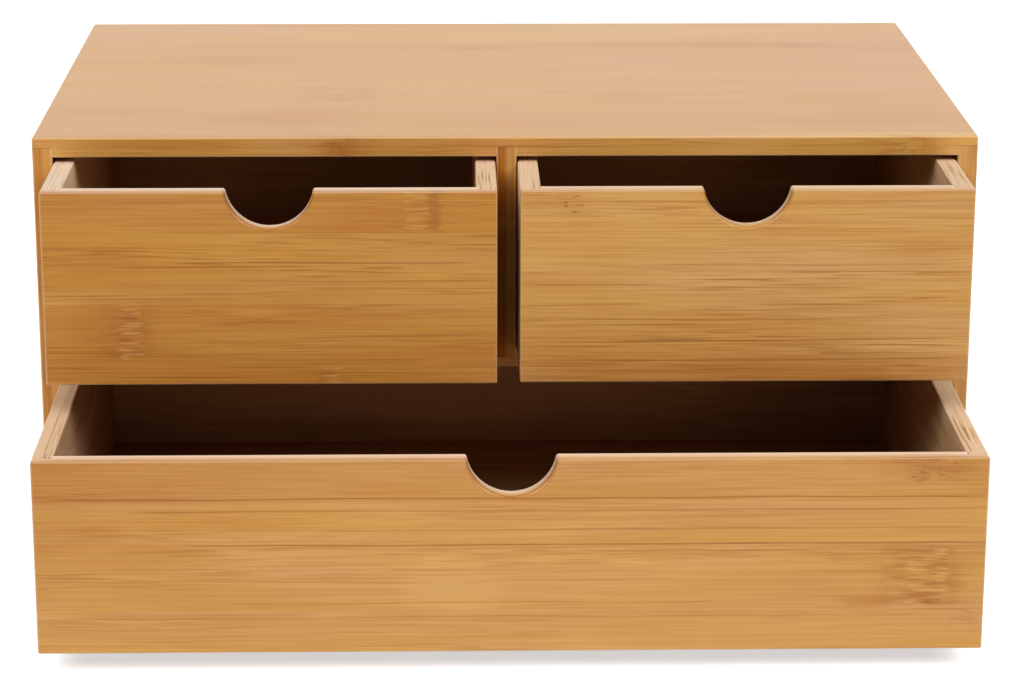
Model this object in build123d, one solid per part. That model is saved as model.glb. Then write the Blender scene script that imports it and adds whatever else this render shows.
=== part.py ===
from build123d import *
import os

# Desktop chest of three small drawers, glued up from laminated bamboo boards.
# Lengths are in millimetres. +X is to the right, +Y to the back and +Z up.
# The origin is the centre of the chest's footprint, on the surface that it stands on.
# Every drawer stands partly open, by its own opening below.

# Chest
chest_width = 330.0
chest_depth = 208.0
board = 7.0              # thickness of the chest's boards
back_thickness = 4.0
housing = 3.5            # how deep a board is let into the one that it meets

# Drawers
drawer_height = 67.5
wall = 7.0               # thickness of a drawer's four walls
corner_lap = 3.5         # how deep the sides are let into the front and back
floor_thickness = 3.0
floor_lift = 5.5         # from a drawer's lower edge to the underside of its floor
groove_depth = 3.0       # of the groove that holds the floor
notch_radius = 15.0      # of the round finger notch
notch_depth = 13.0       # from the front's top edge to the notch's lowest point

# Clearances
side_gap = 0.4           # between a drawer and each upright beside it
under_gap = 0.3          # between a drawer and the board that it runs on
upper_headroom = 1.8     # over the upper drawers
lower_headroom = 3.6     # over the lower drawer
closed_gap = 0.3         # between a shut drawer and the back panel
floor_play = 0.3         # between a floor's edge and the end of its groove

# Easing of the edges
outer_round = 0.8        # on the chest's outside edges
mouth_round = 0.5        # round the mouths of the bays
drawer_round = 0.7       # on the drawers' edges
notch_bevel = 0.5        # on the rim of a finger notch

# How far each drawer stands open
upper_left_opening = 43.5
upper_right_opening = 42.5
lower_opening = 92.5

# Places that follow from the sizes above
side_face = chest_width / 2
front_face = -chest_depth / 2
back_face = chest_depth / 2
bay_side = side_face - board
bay_back = back_face - back_thickness
lower_bay_floor = board
lower_bay_roof = lower_bay_floor + under_gap + drawer_height + lower_headroom
upper_bay_floor = lower_bay_roof + board
upper_bay_roof = upper_bay_floor + under_gap + drawer_height + upper_headroom
chest_top = upper_bay_roof + board
drawer_length = bay_back - front_face - closed_gap
tiny = 1e-4              # tells two places apart


def block(x_span, y_span, z_span):
    """A rectangular block between three pairs of coordinates."""
    spans = (x_span, y_span, z_span)
    middle = [(low + high) / 2 for low, high in spans]
    size = [high - low for low, high in spans]
    return Pos(*middle) * Box(*size)


def horizontal_board(low, high):
    """A block as wide and deep as the chest between two heights."""
    return block((-side_face, side_face), (front_face, back_face), (low, high))


def glued_chest():
    """The whole chest as one block with its three bays, its edges eased after gluing."""
    chest = horizontal_board(0, chest_top)
    bays = [
        block((-bay_side, bay_side), (front_face, bay_back), (lower_bay_floor, lower_bay_roof)),
        block((-bay_side, -board / 2), (front_face, bay_back), (upper_bay_floor, upper_bay_roof)),
        block((board / 2, bay_side), (front_face, bay_back), (upper_bay_floor, upper_bay_roof)),
    ]
    chest = fillet(chest.edges(), outer_round) - bays
    at_front = chest.edges().filter_by_position(Axis.Y, front_face, front_face)
    mouths = [edge for edge in at_front if abs(edge.center().X) < bay_side + tiny
              and lower_bay_floor - tiny < edge.center().Z < upper_bay_roof + tiny]
    return fillet(mouths, mouth_round)


def upright_seats(low, high):
    """Room at both ends of a horizontal board for the side panels."""
    whole_depth = (front_face, back_face)
    return [
        block((-side_face, -bay_side), whole_depth, (low, high)),
        block((bay_side, side_face), whole_depth, (low, high)),
    ]


def back_panel_blank():
    """The back panel, let into the top, the bottom and both sides."""
    reach = bay_side + housing
    return block((-reach, reach), (bay_back, back_face),
                 (lower_bay_floor - housing, upper_bay_roof + housing))


def shelf_blank():
    """The shelf, let into both sides."""
    reach = bay_side + housing
    return block((-reach, reach), (front_face, bay_back), (lower_bay_roof, upper_bay_floor))


def divider_blank():
    """The divider, let into the shelf below it and the top above it."""
    return block((-board / 2, board / 2), (front_face, bay_back),
                 (upper_bay_floor - housing, upper_bay_roof + housing))


def side_blank(side):
    """A side panel for side -1, left, or 1, right, let into the top and the bottom."""
    across = sorted((side * bay_side, side * side_face))
    return block(across, (front_face, back_face),
                 (lower_bay_floor - housing, upper_bay_roof + housing))


def chest_boards():
    """The chest's boards by name, each cut from the glued and eased chest."""
    chest = glued_chest()
    back = back_panel_blank()
    shelf = shelf_blank()
    divider = divider_blank()
    top = horizontal_board(upper_bay_roof, chest_top)
    top = top - upright_seats(upper_bay_roof, upper_bay_roof + housing) - divider - back
    bottom = horizontal_board(0, lower_bay_floor)
    bottom = bottom - upright_seats(lower_bay_floor - housing, lower_bay_floor) - back
    blanks = {
        "top_panel": top,
        "bottom_panel": bottom,
        "left_side_panel": side_blank(-1) - shelf - back,
        "right_side_panel": side_blank(1) - shelf - back,
        "shelf_panel": shelf - divider,
        "divider_panel": divider,
        "back_panel": back,
    }
    return {name: blank & chest for name, blank in blanks.items()}


def is_notch_face(face):
    """Whether a face is the round wall of a finger notch."""
    return face.geom_type == GeomType.CYLINDER and abs(face.radius - notch_radius) < tiny


def glued_walls(x_span, y_span, z_span):
    """A drawer's four walls as one frame with its finger notch, its edges eased after gluing."""
    left, right = x_span
    front, back = y_span
    inside = block((left + wall, right - wall), (front + wall, back - wall), z_span)
    notch_centre = ((left + right) / 2, front + wall / 2, z_span[1] + notch_radius - notch_depth)
    notch = Pos(*notch_centre) * Rot(90, 0, 0) * Cylinder(notch_radius, wall)
    frame = block(x_span, y_span, z_span) - inside
    inner_corners = [edge for edge in frame.edges().filter_by(Axis.Z)
                     if left + tiny < edge.center().X < right - tiny]
    frame = fillet([edge for edge in frame.edges() if edge not in inner_corners], drawer_round)
    frame = frame - notch
    notch_face = frame.faces().filter_by(is_notch_face)[0]
    return chamfer(notch_face.edges(), notch_bevel)


def drawer_boards(drawer, x_span, z_low, opening):
    """One drawer's five boards by name, each cut from the glued and eased walls."""
    left, right = x_span
    front = front_face - opening
    back = front + drawer_length
    z_span = (z_low, z_low + drawer_height)
    walls = glued_walls(x_span, (front, back), z_span)

    front_blank = block(x_span, (front, front + wall), z_span)
    back_blank = block(x_span, (back - wall, back), z_span)
    side_length = (front + wall - corner_lap, back - wall + corner_lap)
    left_blank = block((left, left + wall), side_length, z_span)
    right_blank = block((right - wall, right), side_length, z_span)

    floor_low = z_low + floor_lift
    floor_height = (floor_low, floor_low + floor_thickness)
    floor_reach = wall - groove_depth
    long_groove = block((left + floor_reach, right - floor_reach), side_length, floor_height)
    cross_groove = block(x_span, (front + floor_reach, back - floor_reach), floor_height)
    floor_edge = floor_reach + floor_play
    floor = block((left + floor_edge, right - floor_edge),
                  (front + floor_edge, back - floor_edge), floor_height)
    blanks = {
        "front": front_blank - left_blank - right_blank - cross_groove,
        "back": back_blank - left_blank - right_blank - cross_groove,
        "left_side": left_blank - long_groove,
        "right_side": right_blank - long_groove,
    }
    boards = {f"{drawer}_{name}": blank & walls for name, blank in blanks.items()}
    boards[f"{drawer}_bottom"] = floor
    return boards


def all_boards():
    """Every node of the chest by name."""
    lower_low = lower_bay_floor + under_gap
    upper_low = upper_bay_floor + under_gap
    outer = bay_side - side_gap
    inner = board / 2 + side_gap
    nodes = chest_boards()
    nodes |= drawer_boards("upper_left_drawer", (-outer, -inner), upper_low, upper_left_opening)
    nodes |= drawer_boards("upper_right_drawer", (inner, outer), upper_low, upper_right_opening)
    nodes |= drawer_boards("lower_drawer", (-outer, outer), lower_low, lower_opening)
    return nodes


os.makedirs("parts", exist_ok=True)
for name, shape in all_boards().items():
    export_step(shape, f"parts/{name}.step")
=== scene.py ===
import math
import random

import bpy
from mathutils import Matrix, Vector


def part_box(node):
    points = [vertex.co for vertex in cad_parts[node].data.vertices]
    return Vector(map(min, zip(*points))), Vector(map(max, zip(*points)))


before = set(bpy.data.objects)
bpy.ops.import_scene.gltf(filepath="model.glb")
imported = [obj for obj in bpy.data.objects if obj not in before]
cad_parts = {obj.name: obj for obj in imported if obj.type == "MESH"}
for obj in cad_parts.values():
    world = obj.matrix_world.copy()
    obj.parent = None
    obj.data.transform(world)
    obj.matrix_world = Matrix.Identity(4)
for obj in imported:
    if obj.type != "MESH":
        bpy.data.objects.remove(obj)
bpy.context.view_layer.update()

MM = 0.001

# Which object axes run along a board's fibres, across its strips and through its thickness
FLAT = "xyz"
FACING_FRONT = "xzy"
STANDING = "zyx"
FACING_SIDE = "yzx"

# Finishes: the bamboo's pale and dark colour, linear, its lacquer's index of refraction and
# roughness, and how much the hue changes over a board
LACQUERED = dict(pale=(0.612, 0.327, 0.092), dark=(0.40, 0.125, 0.0), ior=1.38, roughness=0.33,
                 hue=1.0)
# The upper left drawer's front is of a redder cane
REDDER = dict(LACQUERED, pale=(0.53, 0.257, 0.042), dark=(0.40, 0.110, 0.0))
POLISHED = dict(LACQUERED, pale=(0.600, 0.345, 0.120), ior=1.45)
THINLY_LACQUERED = dict(LACQUERED, ior=1.2, roughness=0.6)
# Drawer sides, backs and floors, and the shelf, which have less lacquer
RAW = dict(pale=(0.68, 0.47, 0.285), dark=(0.38, 0.225, 0.11), ior=1.2, roughness=0.6, hue=0.3)
# The drawer backs' darker colour is painted shade of the drawers' insides
RAW_DARKER = dict(RAW, pale=(0.68, 0.51, 0.36), dark=(0.32, 0.21, 0.13))
RAW_FLOOR = dict(RAW, pale=(0.74, 0.50, 0.28), dark=(0.39, 0.225, 0.095), hue=0.1)
# The shelf's paler colour is painted light where it lies in shade between the drawers
SHELF_PAINTED_LIGHT = dict(RAW, pale=(0.72, 0.44, 0.19))

# What lies over the strips' own colour. A tint multiplies it, the others take its place.
GOLDEN_TINT = (1.0, 0.985, 0.78)
PINK_TINT = (1.0, 0.995, 1.18)
FIBRE_TINT = (0.68, 0.56, 0.38)
# A painted highlight beside the fibres
PAINTED_GLINT_TINT = (1.15, 1.18, 1.32)
KNUCKLE_TINT = (0.70, 0.52, 0.38)
SPECK_TINT = (0.64, 0.50, 0.24)
END_GRAIN_TINT = (0.72, 0.62, 0.52)
GLUE_TINT = (0.40, 0.26, 0.16)
EDGE_TINT = (1.09, 0.97, 0.70)
# Painted shade on a front's front rims
PAINTED_RIM_SHADE_TINT = (0.84, 0.78, 0.68)
FLECK = (0.71, 0.41, 0.14)
# Colours of the painted sheen, with wearing, on upper faces
SHEEN_AND_WEAR_PALE = (0.65, 0.45, 0.29)
SHEEN_AND_WEAR_PALER = (0.70, 0.54, 0.41)
# Arrises are painted this pale as wearing and as painted highlight
ARRIS_WEAR_AND_HIGHLIGHT = (0.84, 0.64, 0.44)
# Painted highlight on a front's upper edge and notch towards the back
PAINTED_RIM_HIGHLIGHT = (0.88, 0.70, 0.55)

# Noises, by how finely they vary along the fibres, across them and through the board, per metre
CLOUDS = (11, 85, 85)
STREAKS = (9, 420, 420)
# The fine painted sheen, a painted highlight
PAINTED_SHINE = (26, 1500, 1500)
BROAD_HUES = (7, 60, 60)
FINE_HUES = (12, 330, 330)
CLUSTERS = (10, 120, 120)
SHEAVES = (7, 210, 210)
SHORT_FIBRES = (55, 1650, 1650)
LONG_FIBRES = (18, 1600, 1600)
FIBRE_WANDER = (14, 30, 30)
RAGGED_ENDS = (50, 750, 750)
RAGGED_EDGES = (160, 40, 40)
ROW_WAVES = (60, 200, 200)
ROW_WEAVE = (105, 5.3, 900)
MOTTLE = (80, 420, 420)
SPECKS = (360, 1300, 1300)

STRIP_WIDTH = 20 * MM
PLY_SHIFT = 0.45 * STRIP_WIDTH      # of the back ply's strips from the front ply's
STRIP_SHIFT = 3.7                   # of the noises in a strip, in metres, for each step of its tone
FLECK_ROW = 0.85 * MM
ARRIS_WIDTH = 0.8 * MM
GLUE_LINE_WIDTH = 0.3 * MM
NOTCH_RADIUS = 15 * MM
NOTCH_DEPTH = 13 * MM

# A Mix node's sockets for colours
FIRST_COLOR, SECOND_COLOR, MIXED_COLOR = 6, 7, 2


# ---------------------------------------------------------------- shader nodes

class Nodes:
    """Short ways to add and join the nodes of one tree."""

    def __init__(self, tree):
        self.tree = tree

    def add(self, kind, **settings):
        node = self.tree.nodes.new("ShaderNode" + kind)
        for name, value in settings.items():
            setattr(node, name, value)
        return node

    def feed(self, socket, value):
        """Link a socket to another node's output, or give it a value of its own."""
        if isinstance(value, bpy.types.NodeSocket):
            self.tree.links.new(value, socket)
        elif socket.type == "RGBA" and len(value) == 3:
            socket.default_value = (*value, 1)
        else:
            socket.default_value = value

    def feed_all(self, node, *values):
        for socket, value in zip(node.inputs, values):
            self.feed(socket, value)

    def math(self, operation, *values):
        node = self.add("Math", operation=operation)
        self.feed_all(node, *values)
        return node.outputs[0]

    def vector(self, operation, *values):
        node = self.add("VectorMath", operation=operation)
        self.feed_all(node, *values)
        return node.outputs["Value" if operation == "LENGTH" else "Vector"]

    def product(self, first, *others):
        for other in others:
            first = self.math("MULTIPLY", first, other)
        return first

    def gap(self, first, second):
        """How far two values lie apart."""
        return self.math("ABSOLUTE", self.math("SUBTRACT", first, second))

    def ramp(self, value, low, high, to_low=0.0, to_high=1.0):
        """value taken smoothly from low..high to to_low..to_high."""
        node = self.add("MapRange", interpolation_type="SMOOTHSTEP")
        self.feed_all(node, value, low, high, to_low, to_high)
        return node.outputs[0]

    def mix(self, share, first, second, blend="MIX"):
        node = self.add("Mix", data_type="RGBA", blend_type=blend, clamp_factor=True)
        self.feed(node.inputs["Factor"], share)
        self.feed(node.inputs[FIRST_COLOR], first)
        self.feed(node.inputs[SECOND_COLOR], second)
        return node.outputs[MIXED_COLOR]

    def tint(self, share, color, tint):
        """color multiplied by a tint, as far as share says."""
        return self.mix(share, color, tint, "MULTIPLY")

    def noise(self, place, fineness, detail=2.0, roughness=0.5):
        node = self.add("TexNoise", noise_dimensions="3D")
        self.feed(node.inputs["Vector"], self.vector("MULTIPLY", place, fineness))
        self.feed(node.inputs["Scale"], 1.0)
        self.feed(node.inputs["Detail"], detail)
        self.feed(node.inputs["Roughness"], roughness)
        return node.outputs["Fac"]

    def sway(self, place, fineness, reach):
        """A noise between -reach and reach."""
        return self.math("MULTIPLY_ADD", self.noise(place, fineness, 1.0), 2 * reach, -reach)

    def split(self, vector):
        node = self.add("SeparateXYZ")
        self.feed(node.inputs[0], vector)
        return node.outputs

    def join(self, x, y, z):
        node = self.add("CombineXYZ")
        self.feed_all(node, x, y, z)
        return node.outputs[0]

    def group(self, group, **values):
        node = self.add("Group", node_tree=group)
        for name, value in values.items():
            self.feed(node.inputs[name.replace("_", " ").title()], value)
        return node.outputs


def new_group(name, inputs, outputs):
    """An empty node group with named sockets, its nodes, its inputs and its output node."""
    group = bpy.data.node_groups.new(name, "ShaderNodeTree")
    for label, kind in inputs:
        group.interface.new_socket(name=label, in_out="INPUT", socket_type="NodeSocket" + kind)
    for label, kind in outputs:
        group.interface.new_socket(name=label, in_out="OUTPUT", socket_type="NodeSocket" + kind)
    nodes = Nodes(group)
    start = group.nodes.new("NodeGroupInput")
    end = group.nodes.new("NodeGroupOutput")
    return group, nodes, start.outputs, end.inputs


def bamboo_group():
    """The figure of laminated bamboo, solid through a board: strip tones, streaks and fibres."""
    group, n, given, out = new_group(
        "bamboo_figure",
        [("Place", "Vector"), ("Strip", "Float"), ("Tone", "Float"), ("Density", "Float"),
         ("Seed", "Float"), ("Contrast", "Float"), ("Hue", "Float"), ("Golden", "Float"),
         ("Pale", "Color"), ("Dark", "Color")],
        [("Color", "Color"), ("Fibres", "Float"), ("Height", "Float")],
    )
    # Every strip reads the noises at a place of its own
    shift = n.math("MULTIPLY_ADD", given["Strip"], STRIP_SHIFT, given["Seed"])
    own = n.vector("ADD", given["Place"], n.join(shift, 0.0, shift))

    # Clouds and streaks darken or lighten a strip about its own tone, and a fine painted sheen, a
    # painted highlight, lightens it
    streak = n.noise(own, STREAKS, roughness=0.6)
    painted_shine = n.ramp(n.noise(own, PAINTED_SHINE, detail=0.0), 0.62, 0.38)
    shade = n.math("MULTIPLY_ADD", streak, 0.45, -0.22)
    shade = n.math("ADD", shade, n.math("SUBTRACT", n.noise(own, CLOUDS), 0.5))
    shade = n.math("SUBTRACT", shade, n.math("MULTIPLY", painted_shine, 0.3))
    shade = n.math("MULTIPLY_ADD", shade, given["Contrast"], given["Tone"])
    color = n.mix(shade, given["Pale"], given["Dark"])
    fine = n.noise(own, FINE_HUES, detail=1.0)
    hue = n.math("MULTIPLY_ADD", fine, 0.25, n.noise(own, BROAD_HUES, detail=1.0))
    hue = n.math("ADD", n.ramp(hue, 0.42, 0.82), given["Golden"])
    color = n.tint(given["Hue"], color, n.mix(hue, PINK_TINT, GOLDEN_TINT))

    # Fibres show as short dashes in clusters and as long lines in sheaves, with painted highlights
    # between
    clusters = n.ramp(n.noise(own, CLUSTERS), 0.44, 0.64)
    sheaves = n.ramp(n.noise(own, SHEAVES, detail=1.0), 0.46, 0.64)
    short = n.noise(own, SHORT_FIBRES, detail=0.0)
    long = n.noise(own, LONG_FIBRES, detail=0.0)
    dashes = n.math("MULTIPLY", n.ramp(short, 0.58, 0.68), clusters)
    lines = n.math("MULTIPLY", n.ramp(long, 0.60, 0.70), sheaves)
    vigour = n.math("MULTIPLY", given["Density"], given["Contrast"])
    fibres = n.math("MULTIPLY", n.math("MAXIMUM", dashes, lines), vigour)
    painted_glints = n.product(n.ramp(short, 0.42, 0.32), clusters, vigour)
    color = n.tint(painted_glints, color, PAINTED_GLINT_TINT)
    color = n.tint(fibres, color, FIBRE_TINT)
    n.feed(out["Color"], color)
    n.feed(out["Fibres"], fibres)
    n.feed(out["Height"], n.math("SUBTRACT", streak, fibres))
    return group


def knuckle_group():
    """A knuckle of the cane: rows of short pale flecks across its strip, in a darker halo."""
    group, n, given, out = new_group(
        "bamboo_knuckle",
        [("Color", "Color"), ("Place", "Vector"), ("Along", "Float"), ("Low", "Float"),
         ("High", "Float"), ("Width", "Float"), ("Flecks", "Float"), ("Shade", "Float"),
         ("Band", "Float"), ("Specks", "Float")],
        [("Color", "Color")],
    )
    place = given["Place"]
    along, across = n.split(place)[:2]
    ragged = n.sway(place, RAGGED_ENDS, 3.5 * MM)
    offset = n.math("ADD", n.math("SUBTRACT", along, given["Along"]), ragged)
    height = n.math("ADD", across, n.sway(place, RAGGED_EDGES, 2 * MM))
    above = n.ramp(n.math("SUBTRACT", height, given["Low"]), -0.5 * MM, 1.5 * MM)
    below = n.ramp(n.math("SUBTRACT", given["High"], height), -0.5 * MM, 1.5 * MM)
    inside = n.math("MULTIPLY", above, below)
    half = n.math("MULTIPLY", given["Width"], 0.5)
    from_column = n.math("SUBTRACT", n.math("ABSOLUTE", offset), half)
    column = n.math("MULTIPLY", n.ramp(from_column, 1 * MM, -1 * MM), inside)

    # The flecks lie in thin rows, level with the fibres, with dark strokes among them
    wave = n.math("MULTIPLY_ADD", n.noise(place, ROW_WAVES, detail=0.0), 1.5 * MM, across)
    rows = n.math("DIVIDE", wave, FLECK_ROW)
    from_row = n.gap(n.math("FRACT", rows), 0.5)
    line = n.math("MULTIPLY", n.ramp(from_row, 0.5, 0.15), column)
    in_row = n.join(along, n.math("FLOOR", rows), given["Along"])
    weave = n.noise(in_row, ROW_WEAVE, detail=0.0)
    flecks = n.product(n.ramp(weave, 0.47, 0.68), line, given["Flecks"])
    strength = n.math("MINIMUM", given["Flecks"], 0.4)
    strokes = n.product(n.ramp(weave, 0.46, 0.36), line, strength)

    # The halo reaches further to the left than to the right, where a dark band can lie in it
    rise = n.ramp(n.math("ADD", offset, half), -16 * MM, 3 * MM)
    past = n.math("SUBTRACT", offset, half)
    fall = n.ramp(past, 11 * MM, -2 * MM)
    mottle = n.ramp(n.noise(place, MOTTLE), 0.3, 0.7)
    halo = n.product(rise, fall, mottle, inside, given["Shade"])
    beside = n.ramp(n.gap(past, 2 * MM), 3.5 * MM, 0.8 * MM)
    band = n.product(beside, inside, given["Band"])
    shade = n.math("ADD", n.math("MAXIMUM", halo, band), strokes)
    specks = n.ramp(n.noise(place, SPECKS, detail=0.0), 0.60, 0.70)
    specks = n.product(specks, column, given["Specks"])

    color = n.tint(shade, given["Color"], KNUCKLE_TINT)
    color = n.tint(specks, color, SPECK_TINT)
    n.feed(out["Color"], n.mix(flecks, color, FLECK))
    return group


def board_edge_group():
    """How near a point is to an arris of its board, and to the planes where the board is glued."""
    group, n, given, out = new_group(
        "board_edges",
        [("Place", "Vector"), ("Size", "Vector"), ("Glued Low", "Vector"), ("Glued High", "Vector")],
        [("Arris", "Float"), ("Glue Line", "Float")],
    )
    low = n.vector("ABSOLUTE", given["Place"])
    high = n.vector("ABSOLUTE", n.vector("SUBTRACT", given["Size"], given["Place"]))

    # An arris is near where two of the three distances to the board's sides are small. A side that
    # is glued counts as 1 m away, because no arris lies along it.
    open_low = n.vector("ADD", low, given["Glued Low"])
    open_high = n.vector("ADD", high, given["Glued High"])
    x, y, z = n.split(n.vector("MINIMUM", open_low, open_high))
    least = n.math("MINIMUM", x, y)
    most = n.math("MAXIMUM", x, y)
    middle = n.math("MAXIMUM", least, n.math("MINIMUM", most, z))
    n.feed(out["Arris"], n.ramp(middle, ARRIS_WIDTH, 0.0))

    # A side that isn't glued counts as 1 m away here, so that it draws no line
    free_low = n.vector("SUBTRACT", (1, 1, 1), given["Glued Low"])
    free_high = n.vector("SUBTRACT", (1, 1, 1), given["Glued High"])
    near_low = n.vector("ADD", low, free_low)
    near_high = n.vector("ADD", high, free_high)
    x, y, z = n.split(n.vector("MINIMUM", near_low, near_high))
    nearest = n.math("MINIMUM", n.math("MINIMUM", x, y), z)
    n.feed(out["Glue Line"], n.ramp(nearest, GLUE_LINE_WIDTH, 0.0))
    return group


BAMBOO = bamboo_group()
KNUCKLE = knuckle_group()
BOARD_EDGES = board_edge_group()


# ---------------------------------------------------------------- bamboo boards

# What can be set for a board, with the values of a plain one
PLAIN_BOARD = dict(
    finish=LACQUERED,
    glued=(),               # the sides where it is glued to other boards, such as "-x"
    from_top=False,         # whether its figure is laid out from its upper edge downwards
    contrast=0.7,           # of the figure on its faces
    edge_contrast=0.7,      # and on its edges and ends
    ply_step=0.15,          # how much darker the back ply is
    edge_step=0.0,          # how much darker the edges and ends are
    edge_tint=0.0,          # how far EDGE_TINT shows on them
    rubbed=0.0,             # how far its upper edge is painted paler: painted sheen of grazing light, and wearing by hands
    top_sheen_and_wear_color=SHEEN_AND_WEAR_PALE,        # the colour of that painted sheen and wearing
    arris=0.45,             # how far its arrises are painted pale, as wearing and painted highlight
    rim_highlight=0.0,           # how far the upper edge and the notch of a front are painted pale at the back: a painted highlight
)

# What the values of one knuckle are called in a figure
KNUCKLE_VALUES = ("along", "low", "high", "width", "flecks", "shade", "band", "specks")

# Chance figures: how far strips differ in width, the range of their fibre density, how often they
# hold a knuckle, and the ranges of a knuckle's width, flecks, shade and band
STRIP_WIDTHS = (0.85, 1.15)
DENSITIES = (0.35, 1.0)
KNUCKLE_CHANCE = 0.5
KNUCKLE_WIDTHS = (6, 11)
KNUCKLE_STRENGTHS = ((0.1, 0.35), (0.1, 0.6), (0.1, 0.3))


def random_figure(seed, length, width, palest, darkest):
    """A figure for a board that the photograph shows too little of to follow."""
    chance = random.Random(seed)
    strips = []
    knuckles = []
    edge = -chance.random() * STRIP_WIDTH
    while edge < width:
        strip_end = edge + STRIP_WIDTH * chance.uniform(*STRIP_WIDTHS)
        tone = chance.uniform(palest, darkest)
        strips.append((max(edge, 0.0), tone, chance.uniform(*DENSITIES)))
        if chance.random() < KNUCKLE_CHANCE:
            along = chance.uniform(0.05, 0.95) * length
            flecks, shade, band = (chance.uniform(*span) for span in KNUCKLE_STRENGTHS)
            knuckle_width = chance.uniform(*KNUCKLE_WIDTHS) * MM
            knuckles.append((along, edge, strip_end, knuckle_width, flecks, shade, band, 0.0))
        edge = strip_end
    return dict(strips=strips, knuckles=knuckles)


class Board:
    """A board's material in the making: its nodes, and where and how a point lies in the board."""

    def __init__(self, node, lie, from_top):
        corner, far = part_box(node)
        axes = ["xyz".index(axis) for axis in lie]
        self.size = far - corner
        self.length, self.width, self.thickness = (self.size[axis] for axis in axes)

        self.material = bpy.data.materials.new(f"bamboo_{node}")
        self.material.use_nodes = True
        self.shader = self.material.node_tree.nodes["Principled BSDF"]
        self.n = n = Nodes(self.material.node_tree)
        where = n.add("TexCoord")
        from_corner = n.add("Mapping")
        n.feed(from_corner.inputs["Vector"], where.outputs["Object"])
        from_corner.inputs["Location"].default_value = -corner
        self.from_corner = from_corner.outputs[0]
        place = n.split(self.from_corner)
        self.height = place[2]
        self.along, self.across, self.through = (place[axis] for axis in axes)
        if from_top:
            self.across = n.math("SUBTRACT", self.width, self.across)
        self.place = n.join(self.along, self.across, self.through)

        normal = where.outputs["Normal"]
        facing = n.split(n.vector("ABSOLUTE", normal))
        self.upward = n.split(normal)[2]
        self.end_grain = n.ramp(facing[axes[0]], 0.5, 0.9)
        self.on_edge = n.math("SUBTRACT", 1.0, facing[axes[2]])


def strip_ramp(board, across, strips):
    """Tone and fibre density of the strip that a point lies in."""
    node = board.n.add("ValToRGB")
    ramp = node.color_ramp
    ramp.interpolation = "CONSTANT"
    for number, (start, tone, density) in enumerate(strips):
        stop = ramp.elements[0] if number == 0 else ramp.elements.new(start / board.width)
        stop.position = start / board.width
        stop.color = (tone, density, 0, 1)
    ramp.elements.remove(ramp.elements[-1])
    board.n.feed(node.inputs[0], board.n.math("DIVIDE", across, board.width))
    separate = board.n.add("SeparateColor")
    board.n.feed(separate.inputs[0], node.outputs[0])
    return separate.outputs[0], separate.outputs[1]


def soft_patches(board, value, patches):
    """A value with soft oval patches added to it, each with its own strength."""
    n = board.n
    for x, y, half_length, half_width, strength in patches:
        far_x = n.math("MULTIPLY_ADD", board.along, 1 / half_length, -x / half_length)
        far_y = n.math("MULTIPLY_ADD", board.across, 1 / half_width, -y / half_width)
        distance = n.vector("LENGTH", n.join(far_x, far_y, 0.0))
        value = n.math("ADD", value, n.ramp(distance, 1.0, 0.2, 0.0, strength))
    return value


def laminated(board, figure, seed, look):
    """The bamboo of a board's two plies, the strips of one lying beside those of the other."""
    n = board.n
    finish = look["finish"]
    back_ply = n.math("GREATER_THAN", board.through, board.thickness / 2)
    shifted = n.math("MULTIPLY_ADD", back_ply, PLY_SHIFT, board.across)
    shifted = n.math("WRAP", shifted, board.width, 0.0)
    strip, density = strip_ramp(board, shifted, figure["strips"])
    tone = n.math("MULTIPLY_ADD", back_ply, look["ply_step"], strip)
    tone = soft_patches(board, tone, figure.get("patches", ()))
    tone = n.math("MULTIPLY_ADD", board.on_edge, look["edge_step"], tone)
    golden = soft_patches(board, 0.0, figure.get("golden", ()))
    more_on_edge = look["edge_contrast"] - look["contrast"]
    contrast = n.math("MULTIPLY_ADD", board.on_edge, more_on_edge, look["contrast"])
    density = n.math("MAXIMUM", density, n.math("MULTIPLY", board.on_edge, 0.8))
    return n.group(BAMBOO, place=board.place, strip=strip, tone=tone, density=density,
                   seed=float(seed), contrast=contrast, hue=finish["hue"], golden=golden,
                   pale=finish["pale"], dark=finish["dark"])


def long_fibres(board, color, lines):
    """Color with single long fibres drawn on it, which wander a little from their heights."""
    if not lines:
        return color
    n = board.n
    height = n.math("ADD", board.across, n.sway(board.place, FIBRE_WANDER, 0.8 * MM))
    for start, end, line_height, strength in lines:
        line = n.ramp(n.gap(height, line_height), 0.38 * MM, 0.08 * MM)
        from_start = n.ramp(board.along, start, start + 12 * MM)
        to_end = n.ramp(board.along, end, end - 12 * MM)
        color = n.tint(n.product(line, from_start, to_end, strength), color, FIBRE_TINT)
    return color


def knuckles_on(board, color, knuckles):
    """Color with the knuckles of a figure on it."""
    for knuckle in knuckles:
        values = dict(zip(KNUCKLE_VALUES, knuckle))
        color = board.n.group(KNUCKLE, color=color, place=board.place, **values)["Color"]
    return color


def cut_sides(board, color):
    """Color with the line between the plies on its edges, and darker where fibres are cut across."""
    n = board.n
    between_plies = n.gap(board.through, board.thickness / 2)
    ply_line = n.product(n.ramp(between_plies, 0.3 * MM, 0.1 * MM), board.on_edge, 0.3)
    color = n.tint(ply_line, color, FIBRE_TINT)
    return n.tint(board.end_grain, color, END_GRAIN_TINT)


def rubbed_edge(board, color, fibres, look):
    """Color of a board with its upper edge painted paler where it faces up, as painted sheen of
    grazing light and as wearing by hands, in between the fibres most.
    """
    n = board.n
    top = board.size.z
    at_top = n.ramp(board.height, top - 2 * MM, top - 1 * MM, 0.0, look["rubbed"])
    between = n.math("MULTIPLY_ADD", fibres, -0.8, 1.0)
    share = n.product(n.ramp(board.upward, 0.3, 0.9), at_top, between)
    return n.mix(share, color, look["top_sheen_and_wear_color"])


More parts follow.
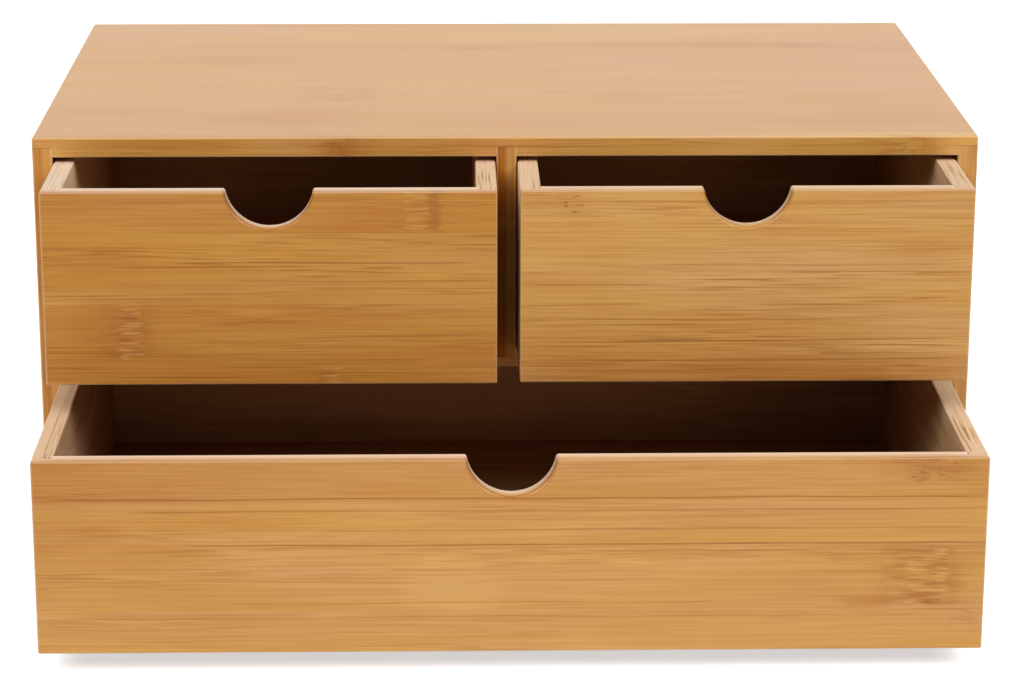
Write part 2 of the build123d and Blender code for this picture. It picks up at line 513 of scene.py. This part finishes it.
def painted_rim_light_and_shade(board, color, rim_highlight):
    """Color of a front with painted shade on the front rims of its upper edge and notch, and a
    painted highlight on them towards the back.
    """
    n = board.n
    aside = n.math("SUBTRACT", board.along, board.length / 2)
    below = n.math("ADD", board.across, NOTCH_RADIUS - NOTCH_DEPTH)
    from_notch = n.gap(n.vector("LENGTH", n.join(aside, below, 0.0)), NOTCH_RADIUS)
    near = n.ramp(n.math("MINIMUM", from_notch, board.across), 0.9 * MM, 0.4 * MM)
    front_rim = n.math("MULTIPLY", n.ramp(board.through, 1.2 * MM, 0.6 * MM), near)
    color = n.tint(front_rim, color, PAINTED_RIM_SHADE_TINT)
    thickness = board.thickness
    rim_highlight_share = n.ramp(board.through, 0.1 * thickness, 0.8 * thickness, 0.0, rim_highlight)
    return n.mix(n.math("MULTIPLY", rim_highlight_share, near), color, PAINTED_RIM_HIGHLIGHT)


def edged(board, color, look):
    """Color of a board with its arrises painted pale as wearing and painted highlight, a front's
    rims given painted highlight and painted shade, and its glue lines dark.
    """
    n = board.n
    glued = look["glued"]
    arris = look["arris"]
    low, high = (tuple(float(side + axis in glued) for axis in "xyz") for side in "-+")
    edges = n.group(BOARD_EDGES, place=board.from_corner, size=tuple(board.size), glued_low=low,
                    glued_high=high)
    # The arrises that face down are painted pale twice as far as the others: a painted highlight
    wear_and_highlight = n.ramp(board.upward, -0.1, -0.6, arris, 2 * arris)
    color = n.mix(n.math("MULTIPLY", edges["Arris"], wear_and_highlight), color, ARRIS_WEAR_AND_HIGHLIGHT)
    if look["rim_highlight"]:
        color = painted_rim_light_and_shade(board, color, look["rim_highlight"])
    return n.tint(n.math("MULTIPLY", edges["Glue Line"], 0.85), color, GLUE_TINT)


def finish_bamboo(board, figure, seed, look):
    """Give a board's material its bamboo, from the strips to the worn edges and the relief."""
    n = board.n
    bamboo = laminated(board, figure, seed, look)
    on_edge = n.math("MULTIPLY", board.on_edge, look["edge_tint"])
    color = n.tint(on_edge, bamboo["Color"], EDGE_TINT)
    color = long_fibres(board, color, figure.get("lines"))
    color = knuckles_on(board, color, figure["knuckles"])
    color = cut_sides(board, color)
    # Painted sheen on the upper edge, with wearing by hands
    if look["rubbed"]:
        color = rubbed_edge(board, color, bamboo["Fibres"], look)
    color = edged(board, color, look)

    shader = board.shader
    finish = look["finish"]
    roughness = n.math("MULTIPLY_ADD", bamboo["Fibres"], 0.15, finish["roughness"])
    bump = n.add("Bump")
    bump.inputs["Strength"].default_value = 0.2
    bump.inputs["Distance"].default_value = 0.1 * MM
    n.feed(bump.inputs["Height"], bamboo["Height"])
    n.feed(shader.inputs["Base Color"], color)
    n.feed(shader.inputs["Roughness"], roughness)
    n.feed(shader.inputs["Normal"], bump.outputs[0])
    shader.inputs["IOR"].default_value = finish["ior"]


# The figure of each front, in millimetres from its upper left corner as seen:
# strips: where one starts below the upper edge, its tone (0 pale, 1 dark), its fibre density
# knuckles: distance from the left end, upper and lower edge, width, then how strong its flecks,
#           shade, right-hand band and specks are
# patches: darker ovals by middle, half length, half height and strength, paler below 0
# golden: more golden ovals in the same way, pinker below 0
# lines: start, end, height and strength of single long fibres
FRONTS = {
    "upper_left_drawer": dict(
        strips=[(0, 0.47, 0.6), (14, 0.37, 1.0), (33, 0.30, 0.9), (39, 0.53, 0.7), (59, 0.62, 0.9)],
        knuckles=[(126.5, -2, 13.7, 8, 0.28, 0.2, 0.6, 0.0), (29, 38.5, 58, 7, 0.45, 0.75, 0.3, 0.0),
                  (97, 60.5, 70, 7, 0.45, 0.6, 0.1, 0.0)],
        patches=[(8, 28, 40, 12, 0.12), (10, 3, 24, 6, 0.12), (20, 48, 18, 14, 0.15),
                 (150, 33, 70, 24, -0.22), (108, 9, 20, 7, 0.1)],
        golden=[(77, 60, 130, 20, 0.7), (110, 6, 80, 12, 0.4), (138, 24, 30, 12, -0.2)],
        lines=[(15, 75, 3, 0.5), (40, 150, 24.5, 0.8), (20, 95, 26, 0.8), (60, 153, 31, 0.6),
               (80, 153, 50.5, 0.6)],
    ),
    "upper_right_drawer": dict(
        strips=[(0, 0.27, 0.6), (9, 0.24, 0.7), (28, 0.28, 1.0), (57.5, 0.44, 1.0)],
        knuckles=[(16.5, -2, 9, 9, 0.0, 0.25, 0.0, 0.9)],
        patches=[(15, 30, 30, 40, 0.12), (138, 21, 22, 6, 0.22), (70, 58, 140, 20, 0.26),
                 (140, 56, 34, 16, -0.2)],
        golden=[(5, 34, 90, 60, 0.5), (140, 6, 50, 16, -0.4)],
        lines=[(0, 50, 33, 0.8), (35, 150, 26, 0.6), (50, 120, 34, 0.6), (10, 110, 45, 0.6),
               (40, 150, 52.5, 0.8), (0, 153, 59.5, 0.8)],
    ),
    "lower_drawer": dict(
        strips=[(0, 0.44, 0.5), (14, 0.27, 0.7), (29, 0.31, 0.8), (52, 0.25, 0.8)],
        knuckles=[(297, -2, 8, 13, 0.1, 0.7, 0.2, 0.8), (296, 31, 52, 13, 0.5, 0.9, 0.35, 0.0),
                  (308, 52, 60, 8, 0.3, 0.15, 0.0, 0.4)],
        patches=[(0, 18, 120, 36, 0.26), (22, 24.5, 14, 4, 0.2), (138, 44, 22, 14, -0.3),
                 (276, 50, 14, 3, 0.35), (250, 8, 70, 12, -0.15), (50, 54, 90, 14, 0.12)],
        golden=[(75, 64, 130, 16, 0.4), (20, 6, 50, 12, -0.4), (60, 44, 90, 12, -0.4),
                (150, 34, 90, 12, 0.3), (240, 6, 120, 12, -0.7), (255, 48, 60, 12, -0.5)],
        lines=[(0, 315, 13.2, 1.0), (30, 315, 17.5, 0.7), (90, 315, 24.2, 0.7),
               (45, 315, 29.5, 1.0), (180, 260, 32, 0.6), (60, 230, 50, 0.6), (10, 300, 55, 0.5)],
    ),
}

# The top's figure in the same way, in millimetres from its front left corner
TOP = dict(
    strips=[(0, 0.20, 0.2), (14, 0.25, 0.2), (48, 0.20, 0.2), (84, 0.17, 0.2), (118, 0.20, 0.2),
            (153, 0.26, 0.2), (176, 0.13, 0.2)],
    knuckles=[(107, 56, 86, 12, 0.0, 0.38, 0.1, 0.0), (109, -2, 2.5, 12, 0.25, 0.7, 0.3, 0.4),
              (306, -2, 2.5, 9, 0.25, 0.8, 0.4, 0.4)],
    patches=[(245, 164, 70, 14, 0.16), (286, 159, 20, 8, 0.14), (156, 157, 22, 8, 0.18),
             (64, 132, 44, 15, 0.14), (212, 66, 24, 14, 0.16), (86, 32, 42, 20, 0.16),
             (165, 22, 44, 12, 0.12), (285, 25, 55, 14, 0.12), (25, 44, 40, 14, 0.12),
             (305, 44, 35, 14, 0.14), (310, 0, 110, 9, -0.3), (80, 0, 150, 9, 0.15)],
    golden=[(325, 120, 60, 110, -0.8), (80, 0, 170, 9, 0.7), (150, 170, 160, 50, 0.2)],
)

# The backs of the drawers, from their lower left corner as seen from the front
# Their dark strips are painted shade of the drawers' insides, their paler patches painted light, and
# the lower drawer's darker patch painted shade
UPPER_BACK_STRIPS = [(0, 0.75, 0.6), (20, 0.70, 0.6), (40, 0.75, 0.6)]
BACKS = {
    "upper_left_drawer": dict(
        strips=UPPER_BACK_STRIPS, knuckles=[], patches=[(10, 28, 80, 30, -0.8)],
    ),
    "upper_right_drawer": dict(
        strips=UPPER_BACK_STRIPS, knuckles=[], patches=[(35, 28, 80, 30, -0.8)],
    ),
    "lower_drawer": dict(
        strips=[(0, 0.70, 0.4), (18, 0.62, 0.4)], knuckles=[],
        patches=[(120, 40, 260, 30, -0.8), (136, 30, 44, 26, -0.4), (290, 20, 80, 40, 0.4)],
    ),
}

# How many of the values of each kind of row are lengths, which come first
LENGTHS = dict(strips=1, knuckles=4, patches=4, golden=4, lines=3)

FRONT_LOOKS = {
    "upper_left_drawer": dict(finish=REDDER, contrast=0.75, rim_highlight=0.7),
    "upper_right_drawer": dict(finish=LACQUERED, contrast=0.75, rim_highlight=0.5),
    "lower_drawer": dict(finish=LACQUERED, contrast=0.5, rim_highlight=0.7),
}

# Tones of the drawers' floors, and of the plies of their sides. The photograph shows some of the
# inner plies.
# The lower drawer's dark floor and the dark inner plies of its sides are painted shade, and the pale
# inner ply of the upper left drawer's left side is partly painted light
FLOOR_TONES = {"upper_left_drawer": 0.2, "upper_right_drawer": 0.2, "lower_drawer": 0.9}
TONE_SPREAD = 0.1
OUTER_TONE = 0.3
INNER_TONE = 0.5
INNER_TONES = {
    "upper_left_drawer_left_side": 0.0,
    "upper_right_drawer_right_side": 0.6,
    "lower_drawer_left_side": 0.9,
    "lower_drawer_right_side": 1.0,
}
PALEST_SIDE = "upper_left_drawer_left_side"


def in_metres(figure):
    """The same figure with its lengths in metres, tones and strengths as they are."""
    turned = {}
    for kind, rows in figure.items():
        count = LENGTHS[kind]
        turned[kind] = [tuple(value * MM for value in row[:count]) + row[count:] for row in rows]
    return turned


def dress(node, lie, seed, palest=0.25, darkest=0.6, figure=None, **settings):
    """Give a board its bamboo, with a chance figure of its own unless one is given."""
    look = dict(PLAIN_BOARD, **settings)
    board = Board(node, lie, look["from_top"])
    figure = figure or random_figure(seed, board.length, board.width, palest, darkest)
    finish_bamboo(board, figure, seed, look)
    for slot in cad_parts[node].material_slots:
        slot.material = board.material


def dress_chest():
    ends = ("-z", "+z")
    dress("top_panel", FLAT, 11, figure=in_metres(TOP), finish=POLISHED, contrast=0.3,
          edge_step=-0.12, edge_tint=1.0)
    dress("bottom_panel", FLAT, 12)
    dress("left_side_panel", STANDING, 13, glued=ends, ply_step=-0.35, edge_step=0.07,
          edge_tint=0.6)
    dress("right_side_panel", STANDING, 14, 0.15, 0.4, glued=ends, ply_step=0.3, edge_step=-0.25,
          arris=0.25)
    # The shelf's pale tones are painted light as well
    dress("shelf_panel", FLAT, 15, 0.0, 0.2, glued=("-x", "+x"), finish=SHELF_PAINTED_LIGHT)
    # The divider's dark tones are painted shade of the gap between the upper drawers
    dress("divider_panel", STANDING, 16, 0.8, 1.0, glued=ends, ply_step=-0.55,
          finish=THINLY_LACQUERED)
    dress("back_panel", FACING_FRONT, 17)


def dress_drawer_side(drawer, side, seed):
    """A drawer side: its inner ply has a tone of its own, on some sides painted shade and painted
    light, and its upper edge is painted paler as painted sheen and wearing by hands.
    """
    node = f"{drawer}_{side}"
    inner = INNER_TONES.get(node, INNER_TONE)
    plies = (OUTER_TONE, inner) if side == "left_side" else (inner, OUTER_TONE)
    front_ply, back_ply = plies
    # Painted sheen with wearing on the upper edge, paler on the palest side
    top_sheen_and_wear_settings = dict(rubbed=0.8, top_sheen_and_wear_color=SHEEN_AND_WEAR_PALER) if node == PALEST_SIDE else dict(rubbed=0.65)
    dress(node, FACING_SIDE, seed, front_ply - TONE_SPREAD, front_ply + TONE_SPREAD,
          glued=("-y", "+y"), ply_step=back_ply - front_ply, finish=RAW, edge_contrast=1.5, **top_sheen_and_wear_settings)


def dress_drawer(drawer, seed):
    # The upper edges of fronts and backs get painted sheen with wearing as well
    dress(f"{drawer}_front", FACING_FRONT, seed, figure=in_metres(FRONTS[drawer]), from_top=True,
          rubbed=0.3, arris=0.35, **FRONT_LOOKS[drawer])
    dress(f"{drawer}_back", FACING_FRONT, seed + 1, figure=in_metres(BACKS[drawer]),
          finish=RAW_DARKER, rubbed=0.5, contrast=0.5)
    dress_drawer_side(drawer, "left_side", seed + 2)
    dress_drawer_side(drawer, "right_side", seed + 3)
    tone = FLOOR_TONES[drawer]
    dress(f"{drawer}_bottom", FLAT, seed + 4, tone - TONE_SPREAD, tone + TONE_SPREAD,
          finish=RAW_FLOOR)


dress_chest()
for number, name in enumerate(FRONTS):
    dress_drawer(name, 20 + 10 * number)


# ---------------------------------------------------------------- floor, light and camera

FLOOR_WHITE = (0.80, 0.80, 0.80, 1)
FLOOR_GLOW = 0.6        # what the floor adds of its own where it is looked at
SKY_LIGHT = 0.08        # what the sky gives the chest, while it looks white itself

# Lamps: how far round to the right of the front, how high and how wide, in degrees, and how
# strong, where 1 lights a face turned to it so that white renders as white
LAMPS = {
    "upper_left_lamp": (-90, 50, 50, 0.25),
    "upper_right_lamp": (90, 50, 50, 0.25),
    "left_front_lamp": (-52, 40, 36, 0.50),
    "right_front_lamp": (52, 40, 36, 0.53),
}

# The camera as fitted to the photograph: millimetres, and degrees about x, y and z
CAMERA_PLACE = (-22.34, -1174.5, 408.8)
CAMERA_TURNS = (73.378, -0.140, -1.266)
SENSOR_WIDTH = 36.0
LENS_LENGTH = 110.76


def looked_at(n):
    """1 where the camera sees a surface, also by a mirroring or through clear things, else 0."""
    path = n.add("LightPath")
    seen = n.math("MAXIMUM", path.outputs["Is Camera Ray"], path.outputs["Is Glossy Ray"])
    return n.math("MAXIMUM", seen, path.outputs["Is Transmission Ray"])


def paper_floor():
    """A plain white floor that keeps the chest's shadow."""
    bpy.ops.mesh.primitive_plane_add(size=12)
    floor = bpy.context.object
    floor.name = "floor"
    material = bpy.data.materials.new("floor_paper")
    material.use_nodes = True
    n = Nodes(material.node_tree)
    shader = material.node_tree.nodes["Principled BSDF"]
    shader.inputs["Base Color"].default_value = FLOOR_WHITE
    shader.inputs["Roughness"].default_value = 0.9
    shader.inputs["Specular IOR Level"].default_value = 0.0
    shader.inputs["Emission Color"].default_value = (1, 1, 1, 1)
    n.feed(shader.inputs["Emission Strength"], n.math("MULTIPLY", looked_at(n), FLOOR_GLOW))
    floor.data.materials.append(material)


def white_sky():
    """A sky that looks white and gives little light."""
    world = bpy.data.worlds.new("sky")
    world.use_nodes = True
    bpy.context.scene.world = world
    n = Nodes(world.node_tree)
    sky = world.node_tree.nodes["Background"]
    sky.inputs["Color"].default_value = (1, 1, 1, 1)
    n.feed(sky.inputs["Strength"], n.ramp(looked_at(n), 0.0, 1.0, SKY_LIGHT, 1.0))


def soft_lamp(name, azimuth, elevation, softness, level):
    """A wide lamp far away, which points at the chest."""
    lamp = bpy.data.lights.new(name, "SUN")
    lamp.angle = math.radians(softness)
    lamp.energy = level * math.pi
    item = bpy.data.objects.new(name, lamp)
    bpy.context.scene.collection.objects.link(item)
    turn, lift = math.radians(azimuth), math.radians(elevation)
    flat = math.cos(lift)
    towards = Vector((math.sin(turn) * flat, -math.cos(turn) * flat, math.sin(lift)))
    item.rotation_euler = towards.to_track_quat("Z", "Y").to_euler()


def camera():
    """The photograph's viewing angle, as a long lens 1.17 m in front of the chest's middle."""
    lens = bpy.data.cameras.new("camera")
    lens.sensor_width = SENSOR_WIDTH
    lens.lens = LENS_LENGTH
    item = bpy.data.objects.new("camera", lens)
    bpy.context.scene.collection.objects.link(item)
    item.location = [value * MM for value in CAMERA_PLACE]
    item.rotation_euler = [math.radians(value) for value in CAMERA_TURNS]
    bpy.context.scene.camera = item


paper_floor()
white_sky()
for name, values in LAMPS.items():
    soft_lamp(name, *values)
camera()
bpy.context.scene.view_settings.view_transform = "Standard"
